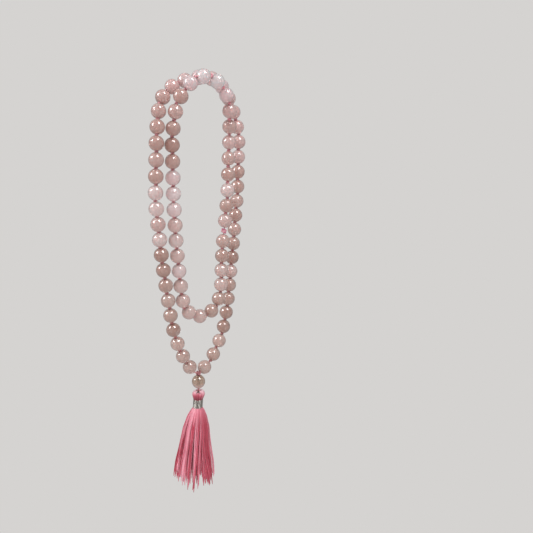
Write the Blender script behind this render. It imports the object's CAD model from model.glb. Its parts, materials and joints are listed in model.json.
import json
import math

import bmesh
import bpy
import numpy as np
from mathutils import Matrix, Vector


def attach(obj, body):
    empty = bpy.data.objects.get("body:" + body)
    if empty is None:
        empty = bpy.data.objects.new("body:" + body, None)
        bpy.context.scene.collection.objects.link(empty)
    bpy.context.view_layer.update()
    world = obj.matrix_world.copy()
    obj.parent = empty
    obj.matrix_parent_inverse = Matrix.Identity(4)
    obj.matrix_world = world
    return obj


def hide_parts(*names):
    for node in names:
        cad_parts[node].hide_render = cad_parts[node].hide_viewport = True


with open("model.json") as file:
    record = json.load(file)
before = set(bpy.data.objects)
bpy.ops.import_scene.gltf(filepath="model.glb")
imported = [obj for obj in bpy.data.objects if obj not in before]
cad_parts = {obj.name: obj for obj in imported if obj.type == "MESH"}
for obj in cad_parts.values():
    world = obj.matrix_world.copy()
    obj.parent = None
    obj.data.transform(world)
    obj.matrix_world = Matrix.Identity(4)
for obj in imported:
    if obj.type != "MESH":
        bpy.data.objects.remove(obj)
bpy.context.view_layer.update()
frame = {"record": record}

# Rose quartz mala: two knotted loops of beads, a guru bead and a silk tassel. Lengths are in mm, in
# the CAD's own frame, until piece() makes them metres.
BODY = {n: b for b, nodes in frame["record"]["behaviour"]["bodies"].items() for n in nodes}
MM = 0.001
SEED = 7

# ---------------------------------------------------------------- the strands' routes, in mm
# Each loop hangs in an upright plane, given by two (x, y) that it passes through.
SHORT_PLANE = ((-20, -1.5), (17.5, 4.5))
LONG_PLANE = ((-28.5, -1.5), (27.5, 11.5))


def in_plane(plane, x, z):
    """The point of a plane at x and z."""
    (x0, y0), (x1, y1) = plane
    return np.array((x, y0 + (x - x0) * (y1 - y0) / (x1 - x0), z), float)


def on_short(*xz):
    return [in_plane(SHORT_PLANE, x, z) for x, z in xz]


def on_long(*xz):
    return [in_plane(LONG_PLANE, x, z) for x, z in xz]


def plain(*xyz):
    return [np.array(p, float) for p in xyz]


# Points where the cord bends, down the two sides, over the support, and along the bottoms
SHORT_L = on_short((-20, -27), (-20, -61), (-19, -86), (-16.5, -111.5))
SHORT_R = on_short((17.5, -25.5), (15.5, -61), (11.5, -89.5), (10, -114.5))
LONG_L = on_long((-28.5, -26), (-30.5, -60), (-27.5, -93), (-22.5, -127.5))
LONG_R = on_long((27.5, -25.5), (26, -59.5), (22, -92.5), (17.5, -125))
SHORT_TOP = [SHORT_L[0]] + plain(
    (-17.5, -3, -10), (-13, -4, -3), (-7, -4.5, 3.5), (2, -4.5, 4.5),
    (9.5, -4, -1), (14, -2.5, -9)
) + [SHORT_R[0]]
LONG_TOP = [LONG_L[0]] + plain(
    (-25, 2, -10), (-20, 4, -3.5), (-13, 4.5, 1), (-5, 4.5, 3.5), (3.5, 5, 5),
    (11.5, 6, 3), (17.5, 8.5, -2.5), (22.5, 10.5, -9)
) + [LONG_R[0]]
SHORT_BOTTOM = [SHORT_L[3]] + on_short(
    (-15, -120), (-9, -126), (-0.5, -127), (7, -122.5)
) + [SHORT_R[3]]
GATHER = on_long((-5, -161.5))[0]
V_LEFT = [LONG_L[3]] + on_long((-20.5, -136), (-17.5, -144.5), (-13.5, -152.5), (-8.5, -159.5))
V_RIGHT = [LONG_R[3]] + on_long((15.5, -133), (13, -141.5), (8.5, -149), (4, -156)) + [GATHER]

BEAD_D, GURU_D, HOLE_D, GURU_HOLE_D, CORD_D = 8, 7.8, 1, 1.6, 0.8
YARN_R = CORD_D / 2 * 0.95
# The cord that the joining knot takes up, and the cord left out above a hinge
JOINING_ROOM, STUB_GAP = 3, 0.6
# Heights of what hangs under the V
GURU_Z, HOOK_Z, SWIVEL_Z, HEAD_Z, NECK_TOP_Z, BAND_BOTTOM_Z, INNER_KNOT_Z = (
    -166.5, -171.1, -172.8, -175, -177.3, -182.7, -175.6)

# ---------------------------------------------------------------- camera, light and backdrop
camera = bpy.data.objects.new("camera", bpy.data.cameras.new("camera"))
bpy.context.scene.collection.objects.link(camera)
camera.data.lens, camera.data.sensor_width = 44, 36
CAMERA_TILT, CAMERA_TURN = 79, -32
camera.rotation_euler = (math.radians(CAMERA_TILT), 0, math.radians(CAMERA_TURN))
camera.location = (-0.1617, -0.3214, -0.0286)
bpy.context.scene.camera = camera
bpy.context.scene.view_settings.view_transform = "Standard"
bpy.context.view_layer.update()
RIGHT, UP, BACK = (np.array(camera.matrix_world.to_3x3().col[i]) for i in range(3))
# The level directions to the camera's right and towards the camera, which the tassel faces
SIDE = np.array((RIGHT[0], RIGHT[1], 0)) / math.hypot(RIGHT[0], RIGHT[1])
FRONT = np.array((SIDE[1], -SIDE[0], 0))


def srgb(r, g, b):
    """An sRGB colour given in 0 to 255, as the linear colour that Blender wants."""
    def linear(c):
        c /= 255
        return c / 12.92 if c <= 0.04045 else ((c + 0.055) / 1.055) ** 2.4
    return (linear(r), linear(g), linear(b), 1)


PALE_GREY = srgb(213, 211, 209)
AMBIENT = 0.5
MIDDLE = Vector((0, 0, -0.11))


def softbox(name, across, up, back, radiance, size, distance=1.0):
    """An area light in a direction given in the camera's axes.

    Neither the camera nor a ray through a stone sees it.
    """
    light = bpy.data.lights.new(name, "AREA")
    light.shape = "RECTANGLE"
    light.size, light.size_y = size
    light.energy = radiance * math.pi * size[0] * size[1]
    obj = bpy.data.objects.new(name, light)
    bpy.context.scene.collection.objects.link(obj)
    direction = Vector(across * RIGHT + up * UP + back * BACK).normalized()
    obj.location = MIDDLE + direction * distance
    obj.rotation_euler = direction.to_track_quat("Z", "Y").to_euler()
    obj.visible_camera = obj.visible_transmission = False
    return obj


WINDOW, FILL, FILL_DISTANCE = (0.34, 0.42), (1.4, 1.4), 1.3
softbox("window_left", -0.80, 0.51, 0.33, radiance=10.5, size=WINDOW)
softbox("window_right", 0.38, 0.78, 0.50, radiance=12.0, size=WINDOW)
for fill in (softbox("fill", 0.05, -0.75, 0.75, 1.6, FILL, FILL_DISTANCE),
             softbox("fill_behind", 0.3, 0.3, -1.0, 0.8, FILL, FILL_DISTANCE)):
    fill.visible_glossy = False

# The backdrop is at full strength for the camera and through clear stones, and dimmer as light.
world = bpy.data.worlds.new("world")
bpy.context.scene.world = world
world.use_nodes = True
wn, wl = world.node_tree.nodes, world.node_tree.links
wn.clear()
seen, lit = wn.new("ShaderNodeBackground"), wn.new("ShaderNodeBackground")
seen.inputs["Color"].default_value = PALE_GREY
lit.inputs["Color"].default_value = PALE_GREY
lit.inputs["Strength"].default_value = AMBIENT
path, mix = wn.new("ShaderNodeLightPath"), wn.new("ShaderNodeMixShader")
out = wn.new("ShaderNodeOutputWorld")
clear = wn.new("ShaderNodeMath")
clear.operation = "MAXIMUM"
wl.new(path.outputs["Is Camera Ray"], clear.inputs[0])
wl.new(path.outputs["Is Transmission Ray"], clear.inputs[1])
wl.new(clear.outputs[0], mix.inputs[0])
wl.new(lit.outputs[0], mix.inputs[1])
wl.new(seen.outputs[0], mix.inputs[2])
wl.new(mix.outputs[0], out.inputs["Surface"])


# ---------------------------------------------------------------- materials
class Nodes:
    """A few shorthands for building one material's nodes."""

    def __init__(self, name):
        self.material = bpy.data.materials.new(name)
        self.material.use_nodes = True
        self.tree = self.material.node_tree
        self.shader = self.tree.nodes["Principled BSDF"]
        self.place = self.tree.nodes.new("ShaderNodeTexCoord").outputs["Object"]

    def link(self, a, b):
        self.tree.links.new(a, b)

    def noise(self, scale, detail=3.0, distortion=0.0, rough=0.5, stretch=None):
        n = self.tree.nodes.new("ShaderNodeTexNoise")
        n.inputs["Scale"].default_value = scale
        n.inputs["Detail"].default_value = detail
        n.inputs["Roughness"].default_value = rough
        n.inputs["Distortion"].default_value = distortion
        place = self.place
        if stretch:
            m = self.tree.nodes.new("ShaderNodeMapping")
            m.inputs["Scale"].default_value = stretch
            self.link(place, m.inputs["Vector"])
            place = m.outputs["Vector"]
        self.link(place, n.inputs["Vector"])
        return n.outputs["Fac"]

    def ramp(self, value, low, high, bottom=0.0, top=1.0):
        n = self.tree.nodes.new("ShaderNodeMapRange")
        for key, v in zip(("From Min", "From Max", "To Min", "To Max"), (low, high, bottom, top)):
            n.inputs[key].default_value = v
        self.link(value, n.inputs["Value"])
        return n.outputs["Result"]

    def mix(self, factor, a, b, kind="MIX"):
        n = self.tree.nodes.new("ShaderNodeMix")
        n.data_type = "RGBA"
        n.blend_type = kind
        for socket, v in ((n.inputs[0], factor), (n.inputs[6], a), (n.inputs[7], b)):
            if isinstance(v, (int, float, tuple)):
                socket.default_value = v
            else:
                self.link(v, socket)
        return n.outputs[2]

    def tint(self):
        """The colour that piece() gives to each part or point."""
        n = self.tree.nodes.new("ShaderNodeAttribute")
        n.attribute_name = "tint"
        return n.outputs["Color"]

    def times(self, a, b):
        return self.mix(1.0, a, b, "MULTIPLY")

    def height(self):
        n = self.tree.nodes.new("ShaderNodeSeparateXYZ")
        self.link(self.place, n.inputs[0])
        return n.outputs["Z"]

    def bump(self, value, strength, distance):
        n = self.tree.nodes.new("ShaderNodeBump")
        n.inputs["Strength"].default_value = strength
        n.inputs["Distance"].default_value = distance
        self.link(value, n.inputs["Height"])
        self.link(n.outputs["Normal"], self.shader.inputs["Normal"])

    def set(self, **values):
        for key, v in values.items():
            self.shader.inputs[key.replace("_", " ")].default_value = v


def quartz(name, clear, polish):
    """Polished milky rose quartz: clouds, pale veils and flecks over each bead's own tint."""
    m = Nodes(name)
    tint = m.tint()
    cloud = m.ramp(m.noise(170, 2, distortion=0.4), 0.36, 0.66)
    body = m.mix(cloud, m.times(tint, (0.94, 0.90, 0.895, 1)), tint)
    veil = m.ramp(m.noise(240, 2, distortion=1.6, rough=0.45), 0.54, 0.78, 0, 0.26)
    body = m.mix(veil, body, srgb(250, 238, 235))
    fleck = m.ramp(m.noise(900, 2, distortion=0.6), 0.64, 0.80, 0, 0.07)
    body = m.mix(fleck, body, m.times(tint, (0.86, 0.76, 0.74, 1)))
    m.link(body, m.shader.inputs["Base Color"])
    rough = m.ramp(m.noise(300, 2), 0.3, 0.7, polish, polish + 0.08)
    m.link(rough, m.shader.inputs["Roughness"])
    m.set(IOR=1.55, Transmission_Weight=clear,
          Subsurface_Weight=0.85, Subsurface_Radius=(1.0, 0.84, 0.82), Subsurface_Scale=0.0036,
          Coat_Weight=1.0, Coat_Roughness=0.055, Coat_IOR=1.85, Coat_Tint=(1.0, 0.955, 0.95, 1))
    return m.material


def cord_silk():
    """Twisted knotting silk: brighter pink high up, deeper rose lower down."""
    m = Nodes("cord")
    high = m.ramp(m.height(), -0.16, -0.03)
    silk = m.times(m.mix(high, srgb(204, 124, 126), srgb(228, 148, 160)), m.tint())
    worn = m.ramp(m.noise(2600, 4), 0.4, 0.75, 0, 0.5)
    m.link(m.mix(worn, silk, srgb(240, 196, 200)), m.shader.inputs["Base Color"])
    m.set(Roughness=0.55, Sheen_Weight=0.25, Sheen_Roughness=0.4)
    m.bump(m.noise(5200, 4), 0.4, 0.00006)
    return m.material


def tassel_silk():
    """Soft glossy thread with long streaks, each strand of its own shade."""
    m = Nodes("tassel_thread")
    tint = m.tint()
    streak = m.ramp(m.noise(900, 4, distortion=0.3, rough=0.6, stretch=(1, 1, 0.08)), 0.35, 0.72)
    dark = m.times(tint, (0.90, 0.76, 0.80, 1))
    m.link(m.mix(streak, dark, tint), m.shader.inputs["Base Color"])
    m.set(Roughness=0.27, Specular_IOR_Level=0.62, Sheen_Weight=0.3, Sheen_Roughness=0.35)
    m.bump(m.noise(4200, 3, stretch=(1, 1, 0.3)), 0.35, 0.00005)
    return m.material


def metallic():
    """Silver thread, a little tarnished in places."""
    m = Nodes("metallic_thread")
    bright = m.ramp(m.noise(1800, 4, distortion=0.4), 0.35, 0.7)
    silver = m.mix(bright, srgb(176, 171, 164), srgb(232, 229, 224))
    m.link(m.times(silver, m.tint()), m.shader.inputs["Base Color"])
    m.link(m.ramp(m.noise(3000, 3), 0.3, 0.7, 0.3, 0.42), m.shader.inputs["Roughness"])
    m.set(Metallic=1.0)
    m.bump(m.noise(7000, 3), 0.15, 0.00004)
    return m.material


def backdrop_paint():
    """An even pale floor of the backdrop's own brightness."""
    material = bpy.data.materials.new("pale_floor")
    material.use_nodes = True
    n, l = material.node_tree.nodes, material.node_tree.links
    n.clear()
    glow, end = n.new("ShaderNodeEmission"), n.new("ShaderNodeOutputMaterial")
    glow.inputs["Color"].default_value = PALE_GREY
    l.new(glow.outputs[0], end.inputs["Surface"])
    return material


QUARTZ = quartz("rose_quartz", clear=0.35, polish=0.28)
CLEAR = quartz("rose_quartz_clear", clear=0.55, polish=0.12)
CORD, THREAD, SILVER = cord_silk(), tassel_silk(), metallic()

floor_mesh = bpy.data.meshes.new("floor")
HALF, FLOOR_Z = 6.0, -0.36
floor_mesh.from_pydata([(-HALF, -HALF, 0), (HALF, -HALF, 0), (HALF, HALF, 0), (-HALF, HALF, 0)],
                       [], [(0, 1, 2, 3)])
floor = bpy.data.objects.new("floor", floor_mesh)
floor.location = (0, 0, FLOOR_Z)
floor.visible_diffuse = floor.visible_glossy = floor.visible_shadow = False
floor_mesh.materials.append(backdrop_paint())
bpy.context.scene.collection.objects.link(floor)


# ---------------------------------------------------------------- mesh building, in mm
RIM_EASE, DENT = 0.34, 0.006


def frame_of(axis):
    """Two unit vectors square to an axis, and the axis's own."""
    axis = axis / np.linalg.norm(axis)
    other = np.array((0, 0, 1.0)) if abs(axis[2]) < 0.9 else np.array((1.0, 0, 0))
    u = np.cross(other, axis)
    u /= np.linalg.norm(u)
    return u, np.cross(axis, u), axis


def grid_faces(rows, columns, close_rows, close_columns):
    """Quads between rows of points."""
    faces = []
    for i in range(rows if close_rows else rows - 1):
        for j in range(columns if close_columns else columns - 1):
            a, b = i * columns, ((i + 1) % rows) * columns
            k = (j + 1) % columns
            faces.append((a + j, a + k, b + k, b + j))
    return faces


def bead(centre, axis, diameter, hole, rng, tall=1.0, segments=44, rings=22):
    """A drilled bead with eased hole rims, not quite round, its hole along the axis."""
    radius, bore = diameter / 2, hole / 2
    start = math.asin((bore + RIM_EASE) / radius)
    rim_z = radius * math.cos(start)
    profile = [(radius * math.sin(a), radius * math.cos(a))
               for a in np.linspace(start, math.pi - start, rings)]
    ease = [(bore + 0.2, rim_z - 0.07), (bore + 0.06, rim_z - 0.22),
            (bore, rim_z - 0.5), (bore, rim_z * 0.4)]
    profile += [(r, -z) for r, z in ease] + ease[::-1]
    u, v, w = frame_of(axis)
    turn = rng.uniform(0, 2 * math.pi)
    waves = [(rng.normal(size=3) * 1.1, rng.uniform(0, 2 * math.pi)) for _ in range(3)]
    verts = []
    for r, z in profile:
        for j in range(segments):
            a = turn + 2 * math.pi * j / segments
            d = np.array((math.cos(a) * r, math.sin(a) * r, z))
            n = d / radius
            dent = sum(math.sin(float(k @ n) * 2 + p) for k, p in waves) / 3
            if r > bore + 0.3:
                d = d * (1 - DENT * (1 + dent))
            verts.append(centre + u * d[0] + v * d[1] + w * d[2] * tall)
    return np.array(verts), grid_faces(len(profile), segments, True, True)


def tube(points, radius, closed=False, plies=2, lay=1.6, depth=0.16, sides=8, up=None, phase=0.0):
    """A twisted yarn along points: one bulge per ply, each ply a bulge further on in every lay."""
    points = np.array(points, float)
    n = len(points)
    ahead = np.roll(points, -1, 0) - np.roll(points, 1, 0)
    if not closed:
        ahead[0], ahead[-1] = points[1] - points[0], points[-1] - points[-2]
    ahead /= np.linalg.norm(ahead, axis=1)[:, None]
    steps = np.linalg.norm(np.diff(points, axis=0), axis=1)
    run = np.concatenate([[0], np.cumsum(steps)])
    radii = np.full(n, radius) if np.isscalar(radius) else np.array(radius)
    u = frame_of(ahead[0])[0]
    if closed:
        length = run[-1] + np.linalg.norm(points[0] - points[-1])
        lay = length / max(1, round(length / lay))
    verts = []
    for i in range(n):
        if up is not None:
            u = np.cross(ahead[i], up)
        else:
            u = u - ahead[i] * (u @ ahead[i])
        u = u / np.linalg.norm(u)
        v = np.cross(ahead[i], u)
        twist = 2 * math.pi * run[i] / lay / plies + phase
        for j in range(sides):
            a = 2 * math.pi * j / sides
            r = radii[i] * (1 - depth + depth * math.cos(plies * (a - twist)))
            verts.append(points[i] + r * (math.cos(a) * u + math.sin(a) * v))
    faces = grid_faces(n, sides, closed, True)
    if not closed:
        base = len(verts)
        crown, last = 0.35, (n - 1) * sides
        verts += [points[0] - ahead[0] * radii[0] * crown,
                  points[-1] + ahead[-1] * radii[-1] * crown]
        for j in range(sides):
            k = (j + 1) % sides
            faces.append((base, k, j))
            faces.append((base + 1, last + j, last + k))
    return np.array(verts), faces


def straight(a, b, step=0.45):
    """Points from a to b, for tube()."""
    n = max(3, int(np.linalg.norm(b - a) / step))
    return [a + (b - a) * i / n for i in range(n + 1)]


def overhand(centre, axis, width, thick, rng, thread=0.27):
    """A small pulled-tight knot: a flattened trefoil of the cord."""
    u, v, w = frame_of(axis)
    spin = rng.uniform(0, 2 * math.pi)
    reach = (width / 2 - thread) / 3
    path = []
    for t in np.linspace(0, 2 * math.pi, 45)[:-1]:
        x = (math.sin(t) + 2 * math.sin(2 * t)) * reach
        y = (math.cos(t) - 2 * math.cos(2 * t)) * reach
        z = -math.sin(3 * t) * max(thick / 2 - thread, 0.1)
        x, y = x * math.cos(spin) - y * math.sin(spin), x * math.sin(spin) + y * math.cos(spin)
        path.append(centre + u * x + v * y + w * z)
    return tube(path, thread, closed=True, lay=1.1, sides=7, up=w)


def piece(name, parts, material, body, replaced=(), colours=None):
    """One shown mesh out of (verts, faces) parts, riding on a body, in place of CAD nodes.

    Each part has a colour, or a colour for each of its points, which its material's tint reads.
    """
    verts, faces, tints, base = [], [], [], 0
    for i, (v, f) in enumerate(parts):
        verts.append(v)
        faces += [tuple(k + base for k in face) for face in f]
        tints.append(np.broadcast_to(colours[i] if colours else (1, 1, 1, 1), (len(v), 4)))
        base += len(v)
    mesh = bpy.data.meshes.new(name)
    mesh.from_pydata((np.vstack(verts) * MM).tolist(), [], faces)
    layer = mesh.color_attributes.new("tint", "FLOAT_COLOR", "POINT")
    layer.data.foreach_set("color", np.vstack(tints).astype(np.float32).ravel())
    bm = bmesh.new()
    bm.from_mesh(mesh)
    bmesh.ops.recalc_face_normals(bm, faces=bm.faces)
    bm.to_mesh(mesh)
    bm.free()
    mesh.shade_smooth()
    mesh.materials.append(material)
    obj = bpy.data.objects.new(name, mesh)
    bpy.context.scene.collection.objects.link(obj)
    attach(obj, body)
    if replaced:
        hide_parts(*replaced)


# ---------------------------------------------------------------- beads
# Shades of rose quartz, from nearly white to brownish rose
SHADES = {"g": srgb(255, 248, 248), "f": srgb(252, 236, 236), "a": srgb(242, 228, 225),
          "b": srgb(232, 211, 206), "c": srgb(220, 197, 189), "d": srgb(210, 184, 174),
          "e": srgb(196, 166, 155)}
# The stones look rosier higher up: not at this height or below, and fully at z = 0.
ROSY, ROSY_FROM = np.array((1.03, 0.945, 0.975, 1)), -120

BEADS = {}


def stretch(node, a, b, letters, fractions=None):
    """Beads between a and b: one letter each, downwards, or from left to right on an arc."""
    count = len(letters)
    BEADS[node] = (a, b, letters, fractions or [(k + 0.5) / count for k in range(count)])


for i, letters in enumerate(("dc", "d", "f", "g", "g", "f", "bc")):
    stretch(f"short_top_beads_{i + 1}", SHORT_TOP[i], SHORT_TOP[i + 1], letters)
for i, letters in enumerate(("dc", "c", "b", "a", "f", "a", "f", "b", "bb")):
    stretch(f"long_top_beads_{i + 1}", LONG_TOP[i], LONG_TOP[i + 1], letters)

# The short loop's second stretch on the right leaves room for the joining knot.
join_length = np.linalg.norm(SHORT_R[2] - SHORT_R[1])
join_pitch = (join_length - JOINING_ROOM) / 3
join_fractions = [join_pitch / 2 / join_length, join_pitch * 1.5 / join_length,
                  1 - join_pitch / 2 / join_length]
TIERS = (("dcda", "bbdd", "edff", "bcda"), ("abae", "cdcd", "fba", "dbc"),
         ("edcd", "ebdd", "bfb", "dbb"))
for i, (ll, lr, sl, sr) in enumerate(TIERS):
    stretch(f"long_left_beads_{i + 1}", LONG_L[i], LONG_L[i + 1], ll)
    stretch(f"long_right_beads_{i + 1}", LONG_R[i], LONG_R[i + 1], lr)
    stretch(f"short_left_beads_{i + 1}", SHORT_L[i], SHORT_L[i + 1], sl)
    stretch(f"short_right_beads_{i + 1}", SHORT_R[i], SHORT_R[i + 1], sr,
            join_fractions if i == 1 else None)
for name, points, row in (("short_bottom_bead", SHORT_BOTTOM, "bbbdd"),
                          ("v_left_bead", V_LEFT, "eccc"), ("v_right_bead", V_RIGHT, "eecdc")):
    for i, letter in enumerate(row):
        stretch(f"{name}_{i + 1}", points[i], points[i + 1], letter)

rng = np.random.default_rng(SEED)
for node, (a, b, letters, fractions) in BEADS.items():
    parts, colours = [], []
    # The beads high on the left look a little larger in the photo.
    size = BEAD_D + (0.1 if "left_beads" in node and node[-1] in "12" else 0)
    for letter, f in zip(letters, fractions):
        centre = a + (b - a) * f
        parts.append(bead(centre, b - a, size, HOLE_D, rng))
        high = np.clip((centre[2] - ROSY_FROM) / -ROSY_FROM, 0, 1)
        shade = np.array(SHADES[letter]) * (1 + (ROSY - 1) * high) * rng.uniform(0.96, 1.04)
        colours.append(np.clip(shade, 0, 1))
    piece(node + "_stones", parts, QUARTZ, BODY[node], [node], colours)

AXIS = np.array((GATHER[0], GATHER[1], 0))
DOWN = np.array((0, 0, -1.0))


def under(z):
    """The point at a height on the upright line through the gathering of the V."""
    return AXIS + np.array((0, 0, z))


# The guru bead is clearer, a little egg-shaped, and rosier at its narrow end.
NARROWING = 0.07
verts, faces = bead(under(GURU_Z), DOWN, GURU_D, GURU_HOLE_D, rng, tall=1.05, segments=56, rings=30)
low = np.clip((GURU_Z - verts[:, 2]) / (GURU_D / 2), -1, 1)[:, None]
verts[:, :2] = AXIS[:2] + (verts[:, :2] - AXIS[:2]) * (1 - NARROWING * np.clip(low, 0, 1) ** 1.5)
smoky, rosy = np.array(srgb(194, 175, 155)), np.array(srgb(250, 226, 220))
piece("guru_stone", [(verts, faces)], CLEAR, BODY["guru_bead"], ["guru_bead"],
      [smoky + (rosy - smoky) * np.clip(low * 1.4, 0, 1)])

# ---------------------------------------------------------------- knotting cord
# (width, thickness) of the knot at the end of a stretch, the width of one in a gap, their thread
END_KNOT, KNOT_W, KNOT_THREAD = (2.3, 1.2), 2.5, 0.32
PLAIN = (1, 1, 1, 1)


def knots(a, b, fractions, rng):
    """A knot in each gap between two neighbouring beads of a stretch."""
    length, axis = np.linalg.norm(b - a), (b - a) / np.linalg.norm(b - a)
    made = []
    for f, g in zip(fractions, fractions[1:]):
        gap = (g - f) * length - BEAD_D
        if gap < 2:
            made.append(overhand(a + axis * length * (f + g) / 2, axis, KNOT_W, gap + 0.5, rng,
                                 KNOT_THREAD))
    return made


def strung(a, b, fractions, rng, start=0.0):
    """One stretch of cord: the yarn inside the beads, its knots, and the knot at its end."""
    axis = (b - a) / np.linalg.norm(b - a)
    made = [tube(straight(a + axis * start, b), YARN_R)] + knots(a, b, fractions, rng)
    made.append(overhand(b, axis, *END_KNOT, rng, KNOT_THREAD))
    return made


def chain(points, counts, rng, start):
    """Stretches of cord one after another, with a number of beads on each."""
    made = []
    for i, count in enumerate(counts):
        fractions = [(k + 0.5) / count for k in range(count)]
        made += strung(points[i], points[i + 1], fractions, rng, start if i == 0 else 0.0)
    return made


rng = np.random.default_rng(SEED + 1)
for node, points, counts in (("short_top_cord", SHORT_TOP, (2, 1, 1, 1, 1, 1, 2)),
                             ("long_top_cord", LONG_TOP, (2, 1, 1, 1, 1, 1, 1, 1, 2))):
    made = chain(points, counts, rng, 0.0)
    made.append(overhand(points[0], points[1] - points[0], *END_KNOT, rng, KNOT_THREAD))
    colours = [PLAIN] * len(made)
    if points is SHORT_TOP:
        # A larger pale knot over the support
        made.append(overhand(points[4], points[5] - points[4], 2.9, 1.7, rng, 0.42))
        colours.append((1.05, 1.35, 1.3, 1))
    piece(node + "_silk", made, CORD, BODY[node], [node], colours)
for i in range(3):
    for loop in ("long", "short"):
        made = []
        for side in ("left", "right"):
            a, b, _, fractions = BEADS[f"{loop}_{side}_beads_{i + 1}"]
            made += strung(a, b, fractions, rng, STUB_GAP)
        node = f"{loop}_cord_{i + 1}"
        piece(node + "_silk", made, CORD, BODY[node], [node])
made = chain(SHORT_BOTTOM[:-1], (1, 1, 1, 1), rng, STUB_GAP)
axis = (SHORT_BOTTOM[-2] - SHORT_BOTTOM[-1]) / np.linalg.norm(SHORT_BOTTOM[-2] - SHORT_BOTTOM[-1])
made.append(tube(straight(SHORT_BOTTOM[-1] + axis * STUB_GAP, SHORT_BOTTOM[-2]), YARN_R))
piece("short_bottom_cord_silk", made, CORD, BODY["short_bottom_cord"],
      ["short_bottom_cord"])

# The two sides of the V meet above the guru bead, and go through it side by side.
APART = 0.32
made = chain(V_LEFT, (1, 1, 1, 1), rng, STUB_GAP) + chain(V_RIGHT[:-1], (1, 1, 1, 1), rng, STUB_GAP)
for side, start in ((-1, V_LEFT[4]), (1, V_RIGHT[4])):
    path = straight(start, GATHER + SIDE * side * APART) + [
        under(z) + SIDE * side * APART for z in np.arange(GATHER[2] - 0.5, HOOK_Z + 0.1, -0.5)]
    made.append(tube(path, CORD_D / 2))
made.append(overhand(under(HOOK_Z), DOWN, 1.4, 0.8, rng, 0.24))
colours = [PLAIN] * len(made)
made.append(overhand(GATHER - DOWN * 0.3, DOWN, 3.5, 2.5, rng, 0.53))
colours.append((0.66, 0.62, 0.68, 1))
piece("v_cord_silk", made, CORD, BODY["v_cord"], ["v_cord"], colours)

# The joining knot: three bunched turns, each leaning a little, over a flat knot
JOINING_TURNS = ((-0.72, 1.15, 0.35), (0.0, 1.4, -0.1), (0.72, 1.05, 0.4))
u, v, w = frame_of(SHORT_R[2] - SHORT_R[1])
middle = SHORT_R[1] + w * (join_pitch * 2 + join_length - join_pitch) / 2
made = []
for k, (offset, reach, tilt) in enumerate(JOINING_TURNS):
    turn = [middle + w * (offset + tilt * math.sin(t))
            + (u * math.cos(t) + v * math.sin(t)) * reach * (1 + 0.06 * math.sin(2 * t + k))
            for t in np.linspace(0, 2 * math.pi, 37)[:-1]]
    made.append(tube(turn, 0.46, closed=True, lay=1.5, sides=9, up=w))
made.append(overhand(middle, w, 3.5, 2.2, rng, 0.45))
piece("joining_knot_silk", made, CORD, BODY["joining_knot"], ["joining_knot"],
      [(0.95, 0.62, 0.98, 1), (1.08, 1.5, 1.5, 1), (0.95, 0.62, 0.98, 1), (1.0, 0.9, 1.15, 1)])

# ---------------------------------------------------------------- tassel
rng = np.random.default_rng(SEED + 2)
PINK, PALE_PINK, DEEP_PINK, WHITE_PINK = (
    np.array(srgb(*c)) for c in ((233, 114, 136), (254, 178, 194), (200, 72, 94), (255, 224, 232)))
LEAN = -0.085


def strand_tint(rng, toward, spread):
    """A strand's own pink, drawn around the middle one and moved towards pale or deep."""
    t = float(np.clip(rng.normal(0.5, spread) + toward, 0, 1))
    if t > 0.5:
        return PINK + (PALE_PINK - PINK) * (t - 0.5) * 2
    return PINK + (DEEP_PINK - PINK) * (0.5 - t) * 2


def leaning(z):
    """The point at a height on the tassel's own middle line, which leans a little to the left."""
    return under(z) + SIDE * LEAN * max(0, SWIVEL_Z - z)


def around(z, r, a):
    """The point at a height, distance and angle round the tassel's middle line."""
    return leaning(z) + (SIDE * math.cos(a) + FRONT * math.sin(a)) * r


def rings(profile, sides):
    """Points of a turned shape, from (radius, height) rows."""
    angles = np.linspace(0, 2 * math.pi, sides + 1)[:-1]
    return [around(z, r, a) for r, z in profile for a in angles]


for node, low, high, knot in (("tassel_loop", SWIVEL_Z, HOOK_Z, (1.6, 0.8, rng)),
                              ("tassel_knot", INNER_KNOT_Z, SWIVEL_Z, (2.0, 1.5, rng, 0.36))):
    piece(node + "_silk", [tube(straight(under(low), under(high - STUB_GAP), 0.3), YARN_R),
                           overhand(under(low), DOWN, *knot)],
          CORD, BODY[node], [node])

# The head: threads folded over the knot in two lobes, from its hole over the top to the neck, as
# (distance from the middle line, depth below the top)
HEAD_TOP = HEAD_Z + 3.25
HEAD_PROFILE = np.array(((1.25, 1.6), (1.35, 0.6), (1.9, 0.12), (2.6, 0.45), (3.28, 1.2),
                         (3.52, 2.15), (3.4, 3.1), (3.05, 4.25), (2.65, 5.3), (2.35, 6.25)))
CREASE, NOTCH = 0.26, 1.5


def head_point(angle, t, inwards=0.0):
    """The point of the head at an angle from the lobes' axis, and t from the hole to the neck."""
    x = t * (len(HEAD_PROFILE) - 1)
    i = min(int(x), len(HEAD_PROFILE) - 2)
    f = x - i
    p = [HEAD_PROFILE[min(max(i + k, 0), len(HEAD_PROFILE) - 1)] for k in (-1, 0, 1, 2)]
    # A Catmull-Rom curve through the profile
    r, z = 0.5 * (2 * p[1] + (p[2] - p[0]) * f + (2 * p[0] - 5 * p[1] + 4 * p[2] - p[3]) * f * f
                  + (3 * p[1] - p[0] - 3 * p[2] + p[3]) * f ** 3)
    groove = math.exp(-((math.cos(angle) / 0.3) ** 2))
    r = r * (1 - CREASE * groove * math.sin(math.pi * min(1, t * 1.15)) - 0.03 * groove) - inwards
    z = z + NOTCH * groove * max(0, 1 - t * 2.0) + inwards * max(0, 1 - 2.5 * t)
    return around(HEAD_TOP - z, r, angle)


def shaded(shades, sides):
    """The colours of a tube's points, from one shade for each of its rows."""
    return np.vstack([np.repeat(shades, sides, 0), shades[0], shades[-1]])


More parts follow.
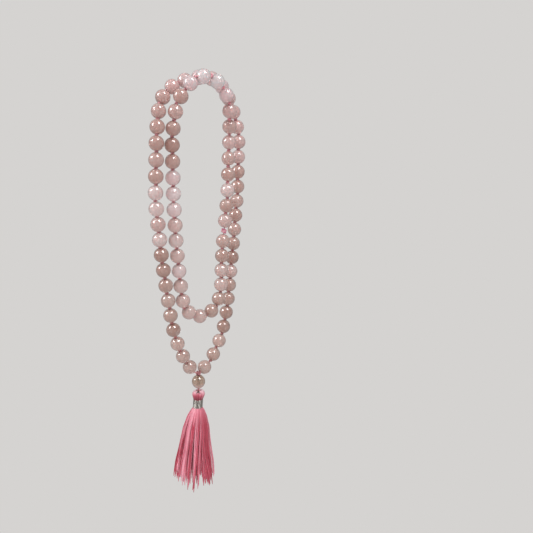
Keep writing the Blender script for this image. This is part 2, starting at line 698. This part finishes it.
# A solid core shows as the dark between the threads.
CORE_ROWS, CORE_SIDES = 24, 40
core = [head_point(a, t, 0.3) for t in np.linspace(0, 1, CORE_ROWS)
        for a in np.linspace(0, 2 * math.pi, CORE_SIDES + 1)[:-1]]
core_faces = grid_faces(CORE_ROWS, CORE_SIDES, False, True)
core += [leaning(HEAD_TOP - 2.0), leaning(HEAD_TOP - 6.8)]
last = (CORE_ROWS - 1) * CORE_SIDES
for j in range(CORE_SIDES):
    k = (j + 1) % CORE_SIDES
    core_faces += [(len(core) - 2, k, j), (len(core) - 1, last + j, last + k)]
parts, colours = [(np.array(core), core_faces)], [DEEP_PINK]

# Each thread is pale over the top of its lobe and deep towards the neck.
HEAD_THREADS, HEAD_THREAD_R, HEAD_ROWS, HEAD_SIDES = 46, 0.29, 26, 7
for k in range(HEAD_THREADS):
    start = 2 * math.pi * (k + rng.uniform(-0.2, 0.2)) / HEAD_THREADS
    sway = rng.normal(0, 0.03)
    path = [head_point(start + 0.16 * t + sway * math.sin(5 * t), t, 0.14)
            for t in np.linspace(0, 1, HEAD_ROWS)]
    parts.append(tube(path, HEAD_THREAD_R, lay=3.5, depth=0.08, sides=HEAD_SIDES))
    lobe = abs(math.cos(start))
    tint = strand_tint(rng, 0.3 * lobe - 0.2, 0.15)
    shades = [(tint + (WHITE_PINK - tint) * (0.55 + 0.45 * lobe) * np.clip(2.0 - 3.3 * t, 0, 1))
              * (1 - 0.6 * np.clip(3.2 * t - 1.6, 0, 1)) for t in np.linspace(0, 1, HEAD_ROWS)]
    colours.append(shaded(shades, HEAD_SIDES))
piece("tassel_head_threads", parts, THREAD, BODY["tassel_head"],
      ["tassel_head"], colours)

# Short ends of dark silver thread lie crossed in the notch.
TIE_FRONT, TIE_HALF, TIE_SAG, TIE_R = 2.05, 1.5, 0.5, 0.25
tie = []
for angle, lift in ((0.55, 0.1), (2.3, 0.35)):
    middle = leaning(HEAD_TOP - 0.5 + lift) + FRONT * TIE_FRONT
    along = SIDE * math.cos(angle) * TIE_HALF + FRONT * math.sin(angle) * TIE_HALF
    tie.append(tube([middle + along * s + DOWN * TIE_SAG * s * s for s in np.linspace(-1, 1, 13)],
                    TIE_R, lay=0.8, sides=7))
piece("tassel_tie", tie, SILVER, BODY["tassel_head"], (),
      [(0.32, 0.40, 0.38, 1)] * len(tie))

# The band: one silver thread wound tightly round the neck, over a thin sleeve
BAND_R, WIND_R, TURNS, STEPS_PER_TURN = 2.9, 0.19, 14.5, 40
path = []
for s in np.linspace(0, 1, int(TURNS * STEPS_PER_TURN)):
    a = 2 * math.pi * TURNS * s
    r = BAND_R - WIND_R + 0.03 * math.sin(a * 0.37)
    path.append(around(NECK_TOP_Z - 0.15 - s * (NECK_TOP_Z - BAND_BOTTOM_Z - 0.3), r, a))
SLEEVE = ((2.72, NECK_TOP_Z - 0.12), (2.72, BAND_BOTTOM_Z + 0.12), (2.6, BAND_BOTTOM_Z),
          (2.45, BAND_BOTTOM_Z + 0.1), (2.45, NECK_TOP_Z - 0.1), (2.6, NECK_TOP_Z))
piece("tassel_band_winding",
      [tube(path, WIND_R, lay=0.5, sides=7),
       (np.array(rings(SLEEVE, 48)), grid_faces(len(SLEEVE), 48, True, True))],
      SILVER, BODY["tassel_band"], ["tassel_band"])

# The skirt: loose threads, fanned, clumped into pointed locks and cut unevenly. Its outline is
# given as (depth below the band, radius).
SKIRT_RADIUS = ((-1.5, 2.3), (0, 2.9), (2, 4.3), (5, 5.7), (12, 7.6), (22, 9.0), (34, 10.9),
                (50, 11.6))
SKIRT_THREADS, LOCKS, SKIRT_LENGTH, SKIRT_ROWS, SKIRT_SIDES = 520, 34, 45, 34, 6
POINTEDNESS, STRAY_SHARE, GOLDEN_ANGLE = 55, 0.03, 2.39996
lock_angle = [2 * math.pi * (k + rng.uniform(-0.38, 0.38)) / LOCKS for k in range(LOCKS)]
lock_out = rng.uniform(0.84, 1.05, LOCKS)
lock_trim = np.clip(rng.normal(0, 2.4, LOCKS), -4, 4)
lock_shade = rng.permutation(np.linspace(-0.6, 0.5, LOCKS))
lock_sway = rng.normal(0, 0.13, LOCKS)
lock_curl = rng.normal(0, 1.1, LOCKS)
lock_bend = rng.uniform(1.5, 4.5, LOCKS)
depths, radii = zip(*SKIRT_RADIUS)
parts, colours = [], []
for k in range(SKIRT_THREADS):
    # q is the thread's place in the bundle, from its middle to its outside.
    q = math.sqrt((k + 0.5) / SKIRT_THREADS)
    angle = k * GOLDEN_ANGLE
    offsets = [(a - angle + math.pi) % (2 * math.pi) - math.pi for a in lock_angle]
    lock = min(range(LOCKS), key=lambda n: abs(offsets[n]))
    off = offsets[lock]
    inner = q < 0.66
    spread = q ** 0.85
    length = (SKIRT_LENGTH + lock_trim[lock] + rng.normal(0, 0.8) - (5 if inner else 0)
              - POINTEDNESS * abs(off))
    length -= 3 * max(0, -math.cos(lock_angle[lock]))
    if rng.random() < STRAY_SHARE:
        length += rng.uniform(2, 4.5)
    wave, phase = rng.normal(0, 0.25, 2), rng.uniform(0, 6.28, 2)
    right = math.cos(lock_angle[lock])
    curl = rng.normal(0, 0.3)
    if not inner:
        curl += 0.6 * lock_curl[lock] + 5 * max(0, right - 0.7) + 1.6 * max(0, -right)
    tint = strand_tint(rng, 0.05 if inner else lock_shade[lock], 0.24)
    path, shades = [], []
    for s in np.linspace(-1.5, length, SKIRT_ROWS):
        t = max(0, s) / SKIRT_LENGTH
        a = (angle + off * (0.2 if inner else 0.92) * min(1, t * 1.05) ** 2
             + lock_sway[lock] * math.sin(lock_bend[lock] * t) * (0.3 if inner else 1))
        r = np.interp(s, depths, radii) * (spread * (1 + (lock_out[lock] - 1) * min(1, 2 * t)))
        side = r * math.cos(a) + wave[0] * t * math.sin(5 * t + phase[0]) + curl * t ** 3
        front = r * math.sin(a) + wave[1] * t * math.sin(4.3 * t + phase[1])
        path.append(leaning(BAND_BOTTOM_Z - s) + SIDE * side + FRONT * front)
        shades.append(tint + (PALE_PINK - tint) * 0.5 * max(0, 1 - max(0, s) / 9))
    # The yarn fluffs out towards its end, and is cut to a blunt tip.
    fluff = np.linspace(0.21, 0.33, SKIRT_ROWS) * rng.uniform(0.9, 1.1)
    fluff[-3:] *= (0.9, 0.75, 0.5)
    parts.append(tube(path, fluff, lay=9, depth=0.05, sides=SKIRT_SIDES,
                      phase=rng.uniform(0, 6.28)))
    colours.append(shaded(shades, SKIRT_SIDES))

# The neck: a solid core inside the band and the top of the skirt
NECK = ((0.6, NECK_TOP_Z + 0.2), (2.2, NECK_TOP_Z), (2.4, BAND_BOTTOM_Z), (2.6, BAND_BOTTOM_Z - 1),
        (2.4, BAND_BOTTOM_Z - 3), (0.6, BAND_BOTTOM_Z - 5))
neck_faces = grid_faces(len(NECK), 32, False, True)
neck_faces += [tuple(range(32)), tuple(range(5 * 32, 6 * 32))]
parts.append((np.array(rings(NECK, 32)), neck_faces))
colours.append(DEEP_PINK)
piece("tassel_skirt_threads", parts, THREAD, BODY["tassel_skirt"],
      ["tassel_skirt"], colours)
